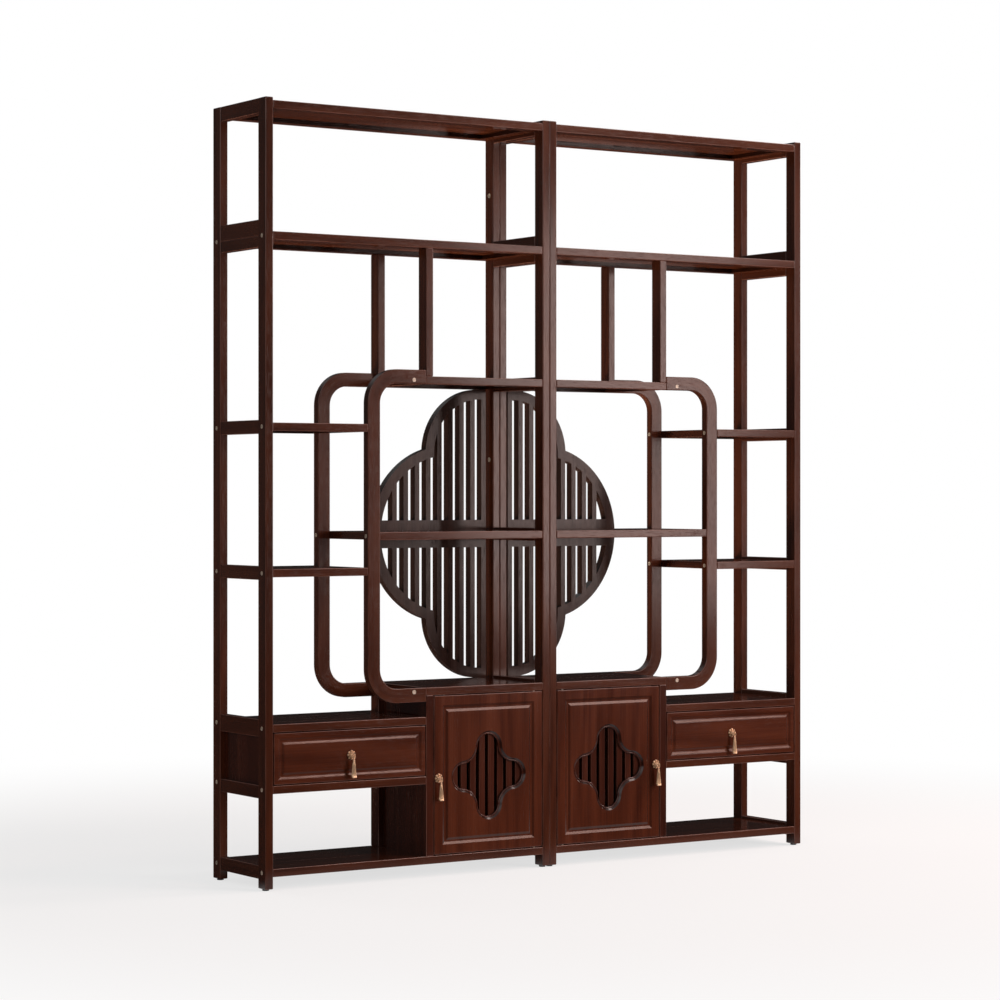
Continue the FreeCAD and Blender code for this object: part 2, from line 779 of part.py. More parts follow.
plates = [lattice_plate(name, plate) for name, plate in PLATES.items()]
drilled(grouped("lattice_stock", plates), "lattice")

# Routed groove, a flat-bottomed ring with sloping sides


def rectangle(wedge, low_inset, high_inset, width, height):
    """Set a wedge's front and back rectangles as insets into a face of the given size."""
    bind(
        wedge,
        Xmin=low_inset, Xmax=f"{width} - ({low_inset})",
        Zmin=low_inset, Zmax=f"{height} - ({low_inset})",
        X2min=high_inset, X2max=f"{width} - ({high_inset})",
        Z2min=high_inset, Z2max=f"{height} - ({high_inset})",
        Ymin="0", Ymax="groove_depth",
    )


def routed_groove(body, name, inset, width, height):
    slope = "(groove_width - groove_flat) / 2"
    cutter = body.newObject("PartDesign::SubtractiveWedge", name + "_groove")
    rectangle(cutter, inset, f"{inset} + {slope}", width, height)
    island = body.newObject("PartDesign::AdditiveWedge", name + "_field")
    rectangle(island, f"{inset} + groove_width", f"{inset} + groove_width - {slope}", width, height)


# Drawer: front, grooved sides, back and bottom, on two fixed runners

DRAWER_FRONT_YS = ("case_front", "drawer_front_back")
drawer_front = board(
    "left_drawer_front", ("drawer_left", "drawer_right"), DRAWER_FRONT_YS, ("drawer_bottom", "drawer_top")
)
routed_groove(drawer_front, "drawer_front", "drawer_groove_inset", "drawer_width", "drawer_height")
keep_pair(drawer_front, "drawer_front")

DRAWER_BOX_YS = ("drawer_front_back", "drawer_box_back")
DRAWER_BOX_ZS = ("drawer_box_floor", "drawer_box_top")
RUNNER_ZS = ("runner_middle - runner_height / 2", "runner_middle + runner_height / 2")
RUNNER_GROOVE_ZS = (f"{RUNNER_ZS[0]} - runner_slack", f"{RUNNER_ZS[1]} + runner_slack")
DRAWER_SIDES = {
    "left": ("drawer_side_left", "drawer_side_left + drawer_side_thickness"),
    "right": ("drawer_side_right - drawer_side_thickness", "drawer_side_right"),
}
RUNNER_GROOVES = {
    "left": ("drawer_side_left", "drawer_side_left + runner_grip + runner_slack"),
    "right": ("drawer_side_right - runner_grip - runner_slack", "drawer_side_right"),
}
drawer_box = []
for hand, xs in DRAWER_SIDES.items():
    side = block(f"drawer_{hand}_side_stock", xs, DRAWER_BOX_YS, DRAWER_BOX_ZS)
    groove = block(f"drawer_{hand}_groove", RUNNER_GROOVES[hand], DRAWER_BOX_YS, RUNNER_GROOVE_ZS)
    drawer_box.append(cut(f"drawer_{hand}_side", side, groove))
INSIDE_XS = (DRAWER_SIDES["left"][1], DRAWER_SIDES["right"][0])
rear_ys = ("drawer_box_back - drawer_side_thickness", "drawer_box_back")
drawer_box.append(block("drawer_box_rear", INSIDE_XS, rear_ys, DRAWER_BOX_ZS))
bottom_zs = (
    "drawer_box_floor + drawer_bottom_lift",
    "drawer_box_floor + drawer_bottom_lift + drawer_bottom_thickness",
)
drawer_box.append(block("drawer_box_bottom", INSIDE_XS, (DRAWER_BOX_YS[0], rear_ys[0]), bottom_zs))
keep_pair(grouped("left_drawer_box", drawer_box), "drawer_box")

RUNNER_YS = ("drawer_front_back", "case_rear - back_setback - back_thickness")
runners = [
    block("outer_runner", ("outer_inside", "outer_inside + runner_reach"), RUNNER_YS, RUNNER_ZS),
    block("inner_runner", ("partition_outside - runner_reach", "partition_outside"), RUNNER_YS, RUNNER_ZS),
]
keep_both(runners, "drawer_runners")

# Door: leaf with a routed groove and a quatrefoil opening, and the grille let into its back


def origin_plane(body, role):
    return next(feature for feature in body.Origin.OriginFeatures if feature.Role == role)


def foil_sketch(body, name):
    """Closed line of four round lobes joined by hollow arcs that run smoothly into them."""
    sketch = body.newObject("Sketcher::SketchObject", name)
    sketch.AttachmentSupport = [(origin_plane(body, "XZ_Plane"), "")]
    sketch.MapMode = "FlatFace"
    sketch.setExpression("AttachmentOffset.Base.x", formula("door_centre_x - door_left"))
    sketch.setExpression("AttachmentOffset.Base.y", formula("door_centre_z - door_bottom"))
    lobe_radius = value("foil_lobe_radius")
    offset = value("foil_lobe_offset")
    shoulder = value("foil_shoulder")
    hollow_radius = math.hypot(shoulder - offset, shoulder) - lobe_radius
    lean = math.atan2(shoulder, shoulder - offset)
    up = FreeCAD.Vector(0, 0, 1)
    quarter = math.pi / 2
    lobes = []
    hollows = []
    for count in range(4):
        turn = FreeCAD.Rotation(up, 90 * count)
        lobe_centre = turn.multVec(FreeCAD.Vector(offset, 0, 0))
        lobe = Part.Circle(lobe_centre, up, lobe_radius)
        start = count * quarter - lean
        lobes.append(sketch.addGeometry(Part.ArcOfCircle(lobe, start, start + 2 * lean)))
        hollow_centre = turn.multVec(FreeCAD.Vector(shoulder, shoulder, 0))
        hollow = Part.Circle(hollow_centre, up, hollow_radius)
        first = count * quarter + 3 * quarter - lean
        last = count * quarter + math.pi + lean
        hollows.append(sketch.addGeometry(Part.ArcOfCircle(hollow, first, last)))

    def rule(*terms):
        return sketch.addConstraint(Sketcher.Constraint(*terms))

    def size(text, *terms):
        sketch.setExpression(f"Constraints[{rule(*terms)}]", formula(text))

    origin, centre = (-1, 1), 3
    horizontal, vertical = -1, -2
    for count in range(4):
        lobe, hollow, next_lobe = lobes[count], hollows[count], lobes[(count + 1) % 4]
        rule("Tangent", lobe, 2, hollow, 2)
        rule("Tangent", hollow, 1, next_lobe, 1)
        rule("PointOnObject", lobe, centre, vertical if count % 2 else horizontal)
        way = "DistanceY" if count % 2 else "DistanceX"
        lobe_ends = (*origin, lobe, centre) if count < 2 else (lobe, centre, *origin)
        size("foil_lobe_offset", way, *lobe_ends, offset)
        hollow_ends = (*origin, hollow, centre) if count in (0, 3) else (hollow, centre, *origin)
        size("foil_shoulder", "DistanceX", *hollow_ends, shoulder)
        size("foil_lobe_radius", "Radius", lobe, lobe_radius)
    return sketch


def front_arcs(shape, tolerance=0.01):
    """Names of the round edges that lie in a leaf's front face."""
    names = []
    for number, edge in enumerate(shape.Edges, start=1):
        box = edge.BoundBox
        curved = box.XLength > tolerance and box.ZLength > tolerance
        if curved and abs(box.YMin) < tolerance and box.YLength < tolerance:
            names.append(f"Edge{number}")
    return names


def door_leaf(name):
    zs = ("door_bottom", "door_top")
    body = board(name, ("door_left", "door_right"), ("case_front", "door_back"), zs)
    routed_groove(body, name, "door_groove_inset", "door_width", "door_height")
    opening = body.newObject("PartDesign::Pocket", name + "_opening")
    opening.Profile = foil_sketch(body, name + "_foil")
    opening.Type = "ThroughAll"
    doc.recompute()
    bevel = body.newObject("PartDesign::Chamfer", name + "_bevel")
    bevel.Base = (opening, front_arcs(opening.Shape))
    bind(bevel, Size="foil_bevel")
    rebate = body.newObject("PartDesign::SubtractiveBox", name + "_rebate")
    side = "2 * (grille_half + grille_slack)"
    bind(rebate, Length=side, Width="grille_thickness", Height=side)
    place(
        rebate,
        "door_centre_x - door_left - grille_half - grille_slack",
        "door_thickness - grille_thickness",
        "door_centre_z - door_bottom - grille_half - grille_slack",
    )
    for spot, start in (("upper", "door_height - pin_seat"), ("lower", "0")):
        seat = body.newObject("PartDesign::SubtractiveCylinder", f"{name}_{spot}_pin_hole")
        bind(seat, Radius="pin_radius + fastener_slack", Height="pin_seat")
        place(seat, "door_width - pivot_inset", "pivot_setback", start)
    return body


keep_pair(door_leaf("left_door_leaf"), "door_leaf")

GRILLE_XS = ("door_centre_x - grille_half", "door_centre_x + grille_half")
GRILLE_YS = ("door_back - grille_thickness", "door_back")
GRILLE_ZS = ("door_centre_z - grille_half", "door_centre_z + grille_half")
slot_zs = ("door_centre_z - foil_reach", "door_centre_z + foil_reach")
side_slots = int((value("foil_lobe_offset") + value("foil_lobe_radius")) / value("grille_pitch"))
grille_slots = []
for count in range(-side_slots, side_slots + 1):
    middle = f"door_centre_x + {count} * grille_pitch"
    xs = (f"{middle} - grille_gap / 2", f"{middle} + grille_gap / 2")
    grille_slots.append(block(f"grille_slot_{count + side_slots}", xs, GRILLE_YS, slot_zs))
grille_panel = block("grille_panel", GRILLE_XS, GRILLE_YS, GRILLE_ZS)
keep_pair(cut("left_door_grille", grille_panel, grouped("grille_slots", grille_slots)), "door_grille")

# Door pivot pins and strike, and the catch under the cupboard top

UPPER_PIN_ZS = ("door_top - pin_seat", "cupboard_ceiling + pin_reach")
LOWER_PIN_ZS = ("bottom_shelf_level - pin_reach", "door_bottom + pin_seat")
STRIKE_XS = ("door_left + catch_offset", "door_left + catch_offset + catch_width")
STRIKE_ZS = ("door_top - catch_height", "door_top")
door_pins = [
    rod("upper_pin", "z", UPPER_PIN_ZS, pivot_spot, "pin_radius"),
    rod("lower_pin", "z", LOWER_PIN_ZS, pivot_spot, "pin_radius"),
    block("door_strike", STRIKE_XS, ("door_back", "door_back + strike_thickness"), STRIKE_ZS),
]
keep_pair(grouped("left_door_pins", door_pins), "door_pins")
catch_front = "door_back + strike_thickness + strike_gap"
CATCH_YS = (catch_front, f"{catch_front} + catch_depth")
CATCH_ZS = ("cupboard_ceiling - catch_height", "cupboard_ceiling")
keep_both([block("catch", STRIKE_XS, CATCH_YS, CATCH_ZS)], "door_catches")

# Tassel pulls: a rose with an eye, and a ring and tassel that swing in the eye


ROSE_PETALS = 8


def pull_rose(name, x, z):
    plate = ("case_front - rose_thickness", "case_front")
    pieces = [rod(name + "_disc", "y", plate, (x, z), "rose_radius")]
    for count in range(ROSE_PETALS):
        turn = 2 * math.pi * count / ROSE_PETALS
        petal_x = f"{x} + petal_offset * ({math.cos(turn):.9f})"
        petal_z = f"{z} + petal_offset * ({math.sin(turn):.9f})"
        pieces.append(rod(f"{name}_petal_{count}", "y", plate, (petal_x, petal_z), "petal_radius"))
    boss = (f"{plate[0]} - rose_boss_height", plate[0])
    pieces.append(taper(name + "_boss", "y", boss, (x, z), "stem_radius", "rose_boss_radius"))
    stem = ("eye_y + (eye_radius + eye_hole_radius) / 2", plate[0])
    pieces.append(rod(name + "_stem", "y", stem, (x, z), "stem_radius"))
    eye_xs = (f"{x} - eye_width / 2", f"{x} + eye_width / 2")
    pieces.append(rod(name + "_eye", "x", eye_xs, ("eye_y", z), "eye_radius"))
    hole = rod(name + "_eye_hole", "x", eye_xs, ("eye_y", z), "eye_hole_radius")
    return cut(name, fused(name + "_solid", *pieces), hole)


def pull_drop(name, x, z):
    ring = doc.addObject("Part::Torus", name + "_ring")
    bind(ring, Radius1="ring_radius", Radius2="ring_wire_radius")
    along(ring, "y", "eye_y", (x, f"{z} - ring_radius"))
    cap_z = f"{z} - 2 * ring_radius - tassel_cap_radius / 2"
    cap = doc.addObject("Part::Sphere", name + "_cap")
    bind(cap, Radius="tassel_cap_radius")
    place(cap, x, "eye_y", cap_z)
    pieces = [ring, cap]
    level = cap_z
    STAGES = (
        ("neck", "tassel_neck_length", "tassel_cap_radius", "tassel_waist_radius"),
        ("skirt", "tassel_skirt_length", "tassel_waist_radius", "tassel_skirt_radius"),
        ("flare", "tassel_flare_length", "tassel_skirt_radius", "tassel_rim_radius"),
        ("rim", "tassel_rim_length", "tassel_rim_radius", "tassel_rim_radius"),
    )
    for stage, drop, upper_radius, lower_radius in STAGES:
        lower = f"{level} - {drop}"
        stage_name = f"{name}_{stage}"
        if upper_radius == lower_radius:
            pieces.append(rod(stage_name, "z", (lower, level), (x, "eye_y"), lower_radius))
        else:
            pieces.append(taper(stage_name, "z", (lower, level), (x, "eye_y"), lower_radius, upper_radius))
        level = lower
    return fused(name, *pieces)


PULLS = {
    "drawer": ("(drawer_left + drawer_right) / 2", "(drawer_bottom + drawer_top) / 2"),
    "door": ("door_left + pull_inset", "door_centre_z"),
}
for owner, (x, z) in PULLS.items():
    keep_pair(pull_rose(f"left_{owner}_pull_rose", x, z), f"{owner}_pull_rose")
    keep_pair(pull_drop(f"left_{owner}_pull_drop", x, z), f"{owner}_pull_drop")

# Check every object and write the sub-parts

doc.recompute()
for item in doc.Objects:
    if "Invalid" in item.State or "Error" in item.State:
        raise RuntimeError(f"{item.Name} failed: {item.State}")
for item in nodes:
    if item.Shape.isNull() or not item.Shape.isValid():
        raise RuntimeError(f"{item.Label} has no valid shape")

os.makedirs("parts", exist_ok=True)
for item in nodes:
    item.Shape.exportStep(f"parts/{item.Label}.step")
    box = item.Shape.BoundBox
    print(f"{item.Label}: {len(item.Shape.Solids)} solids, {item.Shape.Volume / 1000:.1f} cm3, "
          f"Z {box.ZMin:.1f} to {box.ZMax:.1f}")
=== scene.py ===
import math

import bmesh
import bpy
from mathutils import Matrix, Vector


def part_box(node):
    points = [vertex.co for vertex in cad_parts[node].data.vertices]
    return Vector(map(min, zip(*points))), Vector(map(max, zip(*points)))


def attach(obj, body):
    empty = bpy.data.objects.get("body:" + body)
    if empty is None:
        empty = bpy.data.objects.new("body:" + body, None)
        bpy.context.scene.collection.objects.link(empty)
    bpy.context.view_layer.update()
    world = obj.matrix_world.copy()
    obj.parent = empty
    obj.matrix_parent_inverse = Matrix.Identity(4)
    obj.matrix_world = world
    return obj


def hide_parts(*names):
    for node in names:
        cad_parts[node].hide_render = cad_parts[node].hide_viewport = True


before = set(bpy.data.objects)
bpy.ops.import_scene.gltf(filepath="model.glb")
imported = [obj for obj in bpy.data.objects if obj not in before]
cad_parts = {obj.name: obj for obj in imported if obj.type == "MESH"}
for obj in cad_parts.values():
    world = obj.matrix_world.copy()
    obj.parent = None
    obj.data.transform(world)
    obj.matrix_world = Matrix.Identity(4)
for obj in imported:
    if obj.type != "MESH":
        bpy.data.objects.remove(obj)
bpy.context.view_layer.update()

# Tea cabinet of two mirror-image units: finishes, eased edges, tassel pulls and studio.
# Metres, in the frame's own axes: X along the front, Y towards the rear, Z up.

MM = 0.001
SIDES = ("left", "right")
FORWARD = Vector((0, -1, 0))
REARWARD = Vector((0, 1, 0))
SIDEWAYS = Vector((1, 0, 0))
UP = Vector((0, 0, 1))

# Sizes that the finishes share with the solids
BOARD_FRAME_WIDTH = 36 * MM
ARCH_RADIUS = 82 * MM
DRAWER_SIDE_WIDTH = 16 * MM

# Stains, from the dark of the grain to its light
FRAME_STAIN = ((0.025, 0.0060, 0.0026), (0.045, 0.0112, 0.0047), (0.067, 0.0185, 0.0082))
FRONT_STAIN = ((0.028, 0.0060, 0.0026), (0.053, 0.0118, 0.0046), (0.084, 0.0208, 0.0088))
PANEL_STAIN = ((0.020, 0.0046, 0.0024), (0.038, 0.0084, 0.0040), (0.060, 0.0150, 0.0075))
LATTICE_STAIN = ((0.012, 0.0055, 0.0042), (0.024, 0.0110, 0.0085), (0.040, 0.0190, 0.0150))
DRAWER_WOOD = ((0.250, 0.1350, 0.0650), (0.400, 0.2450, 0.1350), (0.520, 0.3500, 0.2150))
SHADE_STOPS = (0.34, 0.52, 0.72)

# What lies over the stain: worn edges with a painted highlight, painted shade on the slopes of the
# grooves, dark joints and a satin lacquer
WORN_AND_LIT_EDGE = (0.200, 0.0950, 0.0750, 1.0)
GROOVE_PAINTED_SHADE = (0.010, 0.0025, 0.0015, 1.0)
DARK_JOINT = (0.004, 0.0015, 0.0010, 1.0)
SATIN = 0.30
FRAME_WEAR_AND_HIGHLIGHT = 0.40

# Figure of the wood: cycles in a metre along and across the grain, and detail
BANDS = (1.6, 26, 2)
LINES = (6, 300, 3)
PORES = (34, 1100, 1)
RINGS = (0.9, 7, 1)
RING_TURNS = 52
PATCHES = (0.9, 2.2, 1)
RUBBING = (9, 40, 2)

# Distances over which a joint's line and a worn outline with its painted highlight come in
JOINT_FADE = (0.7 * MM, 0.2 * MM)
OUTLINE_FADE = (1.6 * MM, 0.5 * MM)

# Metals, bright and dull, and the painted shade in the hollows of their relief
BOLT_METAL = ((0.60, 0.51, 0.43), (0.36, 0.29, 0.23))
BUSHING_BRASS = ((0.78, 0.58, 0.28), (0.50, 0.34, 0.14))
PULL_BRASS = ((0.86, 0.56, 0.36), (0.66, 0.40, 0.24))
HOLLOW_PAINTED_SHADE = (0.030, 0.012, 0.006, 1.0)


# Finishes

class Wire:
    """One socket of a finish. Sums and products of wires become Math nodes."""

    def __init__(self, tree, socket=None):
        self.tree = tree
        self.socket = socket

    def node(self, kind, settings=None, inputs=None, output=0):
        """Add a node, set it up, then give its sockets their values or links."""
        made = self.tree.nodes.new("ShaderNode" + kind)
        for setting, choice in (settings or {}).items():
            if setting == "stops":
                set_stops(made.color_ramp, choice)
            else:
                setattr(made, setting, choice)
        for spot, entry in (inputs or {}).items():
            if isinstance(entry, Wire):
                self.tree.links.new(entry.socket, made.inputs[spot])
            else:
                made.inputs[spot].default_value = entry
        return Wire(self.tree, made.outputs[output] if made.outputs else None)

    def out(self, output):
        """Another output of the same node."""
        return Wire(self.tree, self.socket.node.outputs[output])

    def maths(self, operation, *terms):
        return self.node("Math", {"operation": operation}, dict(enumerate(terms)))

    def __add__(self, other):
        return self.maths("ADD", self, other)

    def __radd__(self, other):
        return self.maths("ADD", other, self)

    def __sub__(self, other):
        return self.maths("SUBTRACT", self, other)

    def __rsub__(self, other):
        return self.maths("SUBTRACT", other, self)

    def __mul__(self, other):
        return self.maths("MULTIPLY", self, other)

    def __rmul__(self, other):
        return self.maths("MULTIPLY", other, self)

    def __abs__(self):
        return self.maths("ABSOLUTE", self)

    def least(self, other):
        return self.maths("MINIMUM", self, other)

    def most(self, other):
        return self.maths("MAXIMUM", self, other)

    def sign(self):
        return self.maths("SIGN", self)

    def band(self, low, high):
        """0 at low, 1 at high and a smooth step between them."""
        limits = {"Value": self, "From Min": low, "From Max": high}
        return self.node("MapRange", {"interpolation_type": "SMOOTHSTEP"}, limits)

    def parts(self):
        split = self.node("SeparateXYZ", None, {0: self})
        return split, split.out(1), split.out(2)

    def noise(self, along, across, detail):
        """Noise drawn out along the first axis; along and across are cycles in a metre."""
        cycles = (along, across, across)
        drawn = self.node("VectorMath", {"operation": "MULTIPLY"}, {0: self, 1: cycles})
        sockets = {"Vector": drawn, "Scale": 1.0, "Detail": detail, "Roughness": 0.6}
        return self.node("TexNoise", None, sockets)

    def tint(self, colour, other):
        """Mix of two colours, with this wire as the share of the other one."""
        return self.node("Mix", {"data_type": "RGBA"}, {0: self, 6: colour, 7: other}, 2)


def set_stops(ramp, stops):
    while len(ramp.elements) < len(stops):
        ramp.elements.new(1.0)
    for element, (position, colour) in zip(ramp.elements, stops):
        element.position = position
        element.color = (*colour, 1.0)


def new_finish(name):
    material = bpy.data.materials.new(name)
    material.use_nodes = True
    material.node_tree.nodes.clear()
    return material, Wire(material.node_tree)


def coat_surface(start, shader):
    start.node("OutputMaterial", None, {"Surface": shader})


def place(start):
    return start.node("TexCoord", None, None, "Object")


def facing_of(start):
    return start.node("TexCoord", None, None, "Normal")


def grain_of(start, along, across, through):
    return start.node("CombineXYZ", None, {0: along, 1: across, 2: through})


def upright_grain(start):
    x, y, z = place(start).parts()
    return grain_of(start, z, x, y), None


def lengthwise_grain(start):
    x, y, z = place(start).parts()
    return grain_of(start, x, y, z), None


def rung_grain(start):
    x, y, z = place(start).parts()
    return grain_of(start, y, x, z), None


def framed_grain(node, end_width, jointed):
    """Lengthwise grain with crosswise end pieces, and the fine joints between the pieces."""
    low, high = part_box("right_" + node)

    def run(start):
        x, y, z = place(start).parts()
        to_end = (abs(x) - low.x).least(high.x - abs(x)) - end_width
        crosswise = to_end.maths("LESS_THAN", to_end, 0.0)
        joints = None
        if jointed:
            to_edge = (y - low.y).least(high.y - y) - BOARD_FRAME_WIDTH
            inner = to_edge.maths("GREATER_THAN", to_edge, 0.0)
            crosswise = crosswise * inner
            end_joint = abs(to_end).band(*JOINT_FADE) * inner
            joints = abs(to_edge).band(*JOINT_FADE).most(end_joint)
        vectors = {0: crosswise, 4: grain_of(start, x, y, z), 5: grain_of(start, y, x, z)}
        return start.node("Mix", {"data_type": "VECTOR"}, vectors, 1), joints

    return run


def bent_grain(start):
    """Grain that follows an arch's upright, corners and arms, and differs on the two sides."""
    low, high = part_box("right_front_arch")
    x, y, z = place(start).parts()
    from_middle = z - (low.z + high.z) / 2
    half_straight = (high.z - low.z) / 2 - ARCH_RADIUS
    past_x = abs(x) - (high.x - ARCH_RADIUS)
    past_z = abs(from_middle) - half_straight
    arm_run = (0.0 - past_x).most(0.0)
    out_x = past_x.most(0.0)
    out_z = past_z.most(0.0)
    reach = out_x * out_x + out_z * out_z
    across = reach.maths("SQRT", reach)
    turn = out_z.maths("ARCTAN2", out_z, out_x) * ARCH_RADIUS
    straight = abs(from_middle).least(half_straight)
    along = from_middle.sign() * (straight + turn + arm_run)
    return grain_of(start, along, across, y + x.sign() * 0.37), None


def box_edges(start):
    """Share of rounding: 0 on flat faces and 1 on the rounded edges of a squared piece."""
    x, y, z = facing_of(start).parts()
    return (1.0 - abs(x).most(abs(y)).most(abs(z))).band(0.01, 0.15)


def face_edges(start):
    """The same for a flat shape with curved sides, along the edges of its front and back."""
    y = facing_of(start).parts()[1]
    return (abs(y) - y * y).band(0.03, 0.16)


def outline_edges(node):
    """The same for a front with routed grooves, along its outline alone."""
    low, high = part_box("right_" + node)

    def run(start):
        x, y, z = place(start).parts()
        to_side = (abs(x) - low.x).least(high.x - abs(x))
        to_end = (z - low.z).least(high.z - z)
        return to_side.least(to_end).band(*OUTLINE_FADE) * (y - low.y).band(*OUTLINE_FADE)

    return run


def stained_wood(name, run, shades, edges=box_edges, roughness=0.15, satin=SATIN, wear_and_highlight=0.70, groove_shade=0.0):
    """Wood with bands, fine lines, pores and a faint flame figure under a satin lacquer.

    Wear and a painted highlight pale its edges, and painted shade darkens the slopes of its grooves and
    bevels.
    """
    material, start = new_finish(name)
    grain, joints = run(start)
    bands = grain.noise(*BANDS)
    lines = grain.noise(*LINES)
    pores = grain.noise(*PORES).band(0.58, 0.70)
    rings = grain.noise(*RINGS) * RING_TURNS
    flame = rings.maths("SINE", rings) * 0.5 + 0.5
    patches = grain.noise(*PATCHES)
    shade = bands * 0.46 + lines * 0.30 + flame * 0.10 + patches * 0.22 - 0.04
    stops = list(zip(SHADE_STOPS, shades))
    colour = start.node("ValToRGB", {"stops": stops}, {"Fac": shade})
    colour = (pores * 0.45).tint(colour, (*shades[0], 1.0))
    # Edges paled partly by wear and partly as a painted highlight along the rounded edges
    worn_and_lit = edges(start) * grain.noise(*RUBBING).band(0.20, 0.62)
    colour = (worn_and_lit * wear_and_highlight).tint(colour, WORN_AND_LIT_EDGE)
    # Painted shade: the slopes of grooves and bevels are darkened where shade falls
    if groove_shade:
        shaded_slopes = box_edges(start) * (1 - edges(start))
        colour = (shaded_slopes * groove_shade).tint(colour, GROOVE_PAINTED_SHADE)
    height = lines * 0.5 - pores * 0.8
    if joints:
        colour = (joints * 0.75).tint(colour, DARK_JOINT)
        height = height - joints * 2.0
    rough = bands * 0.10 + pores * 0.12 + patches * 0.08 - worn_and_lit * 0.06 + (roughness - 0.09)
    bump = start.node("Bump", None, {"Height": height, "Strength": 0.16, "Distance": 0.3 * MM})
    coat_surface(start, start.node("BsdfPrincipled", None, {
        "Base Color": colour,
        "Roughness": rough,
        "Specular IOR Level": satin,
        "Normal": bump,
    }))
    return material


def metal(name, shades, roughness, scale, shine=1.0, shade_hollows=False):
    """Metal with cloudy tarnish and fine scratches, and, for the pulls, painted shade in its hollows.
    """
    bright, dull = shades
    material, start = new_finish(name)
    spot = place(start)
    clouds = spot.noise(scale, scale, 3)
    scratches = spot.noise(scale * 4, scale * 40, 2)
    colour = clouds.band(0.35, 0.68).tint((*dull, 1.0), (*bright, 1.0))
    rough = clouds * -0.22 + scratches * 0.12 + (roughness + 0.05)
    if shade_hollows:
        # Painted shade: the hollows of the relief are darkened where shade falls
        hollows = start.node("Attribute", {"attribute_name": "hollow"}, None, "Fac")
        colour = (hollows * 0.95).tint(colour, HOLLOW_PAINTED_SHADE)
        rough = rough + hollows * 0.25
    bump = start.node("Bump", None, {"Height": scratches, "Strength": 0.06, "Distance": 0.1 * MM})
    coat_surface(start, start.node("BsdfPrincipled", None, {
        "Base Color": colour,
        "Metallic": shine,
        "Roughness": rough,
        "Normal": bump,
    }))
    return material


def moulded_plastic(name, shade):
    """Dark plastic with a fine moulded grain."""
    material, start = new_finish(name)
    spot = place(start)
    clouds = spot.noise(60, 60, 2)
    pips = spot.noise(1400, 1400, 1)
    paler = tuple(2.2 * part for part in shade)
    colour = clouds.tint((*shade, 1.0), (*paler, 1.0))
    bump = start.node("Bump", None, {"Height": pips, "Strength": 0.2, "Distance": 0.1 * MM})
    coat_surface(start, start.node("BsdfPrincipled", None, {
        "Base Color": colour,
        "Roughness": clouds * 0.2 + 0.45,
        "Specular IOR Level": 0.3,
        "Normal": bump,
    }))
    return material


def dress(finish, *nodes):
    for node in nodes:
        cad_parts[node].material_slots[0].material = finish


def dress_both(finish, *labels):
    dress(finish, *(f"{side}_{label}" for label in labels for side in SIDES))


post_wood = stained_wood("post_wood", upright_grain, FRAME_STAIN, wear_and_highlight=FRAME_WEAR_AND_HIGHLIGHT)
dress_both(post_wood, "front_outer_post", "rear_outer_post", "front_inner_post", "rear_inner_post")
dress(post_wood, "dividers")
rail_wood = stained_wood("rail_wood", rung_grain, FRAME_STAIN)
dress_both(rail_wood, "side_rails")
arch_wood = stained_wood("arch_wood", bent_grain, FRAME_STAIN, face_edges, wear_and_highlight=FRAME_WEAR_AND_HIGHLIGHT)
dress_both(arch_wood, "front_arch", "rear_arch")
panel_wood = stained_wood("panel_wood", upright_grain, PANEL_STAIN)
dress_both(panel_wood, "case_panels")
FRAMED_BOARDS = {
    "full_board_wood": ("top_board", "upper_shelf", "bottom_shelf"),
    "cupboard_board_wood": ("arch_shelf", "cupboard_top"),
    "middle_board_wood": ("middle_shelf",),
    "side_board_wood": ("outer_shelves",),
    "drawer_board_wood": ("drawer_case_boards",),
}
for name, labels in FRAMED_BOARDS.items():
    board_grain = framed_grain(labels[0], BOARD_FRAME_WIDTH, jointed=True)
    dress_both(stained_wood(name, board_grain, FRAME_STAIN), *labels)
bolt_metal = metal("bolt_metal", BOLT_METAL, roughness=0.45, scale=300, shine=0.4)
dress_both(bolt_metal, "door_pins")
bushing_brass = metal("bushing_brass", BUSHING_BRASS, roughness=0.34, scale=300)
dress(bushing_brass, "door_bushings")
glide_plastic = moulded_plastic("glide_plastic", (0.012, 0.011, 0.011))
catch_plastic = moulded_plastic("catch_plastic", (0.016, 0.011, 0.010))
tray_grain = framed_grain("drawer_box", DRAWER_SIDE_WIDTH, jointed=False)
drawer_wood = stained_wood("drawer_wood", tray_grain, DRAWER_WOOD, roughness=0.5, satin=0.25)
dress(drawer_wood, "lattice_dowels")


# Pieces

def finished(name, work, body, slot, finish, *stands_for):
    """Turn a worked mesh into a piece that rides on a body and stands for solids of the frame."""
    mesh = bpy.data.meshes.new(name)
    work.to_mesh(mesh)
    work.free()
    mesh.shade_smooth()
    mesh.materials.append(finish)
    piece = bpy.data.objects.new(name, mesh)
    bpy.context.scene.collection.objects.link(piece)
    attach(piece, body)
    if stands_for:
        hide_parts(*stands_for)
    return piece


def tidied(work):
    bmesh.ops.remove_doubles(work, verts=work.verts, dist=0.002 * MM)
    bmesh.ops.recalc_face_normals(work, faces=work.faces)


# Eased edges, and sockets in the heads of the joining bolts
FLAT = math.radians(0.2)
SHARP = math.radians(15)
FRONT_EASE = 1.3 * MM
LATTICE_EASE = 0.9 * MM
SMALL_EASE = 0.8 * MM
BOLT_EASE = 0.5 * MM
HEAD_AREA = 45 * MM * MM
ROUND_CORNERS = 12
SOCKET_RIM = 2.4 * MM
SOCKET_TAPER = 0.2 * MM
SOCKET_DEPTH = 2.0 * MM


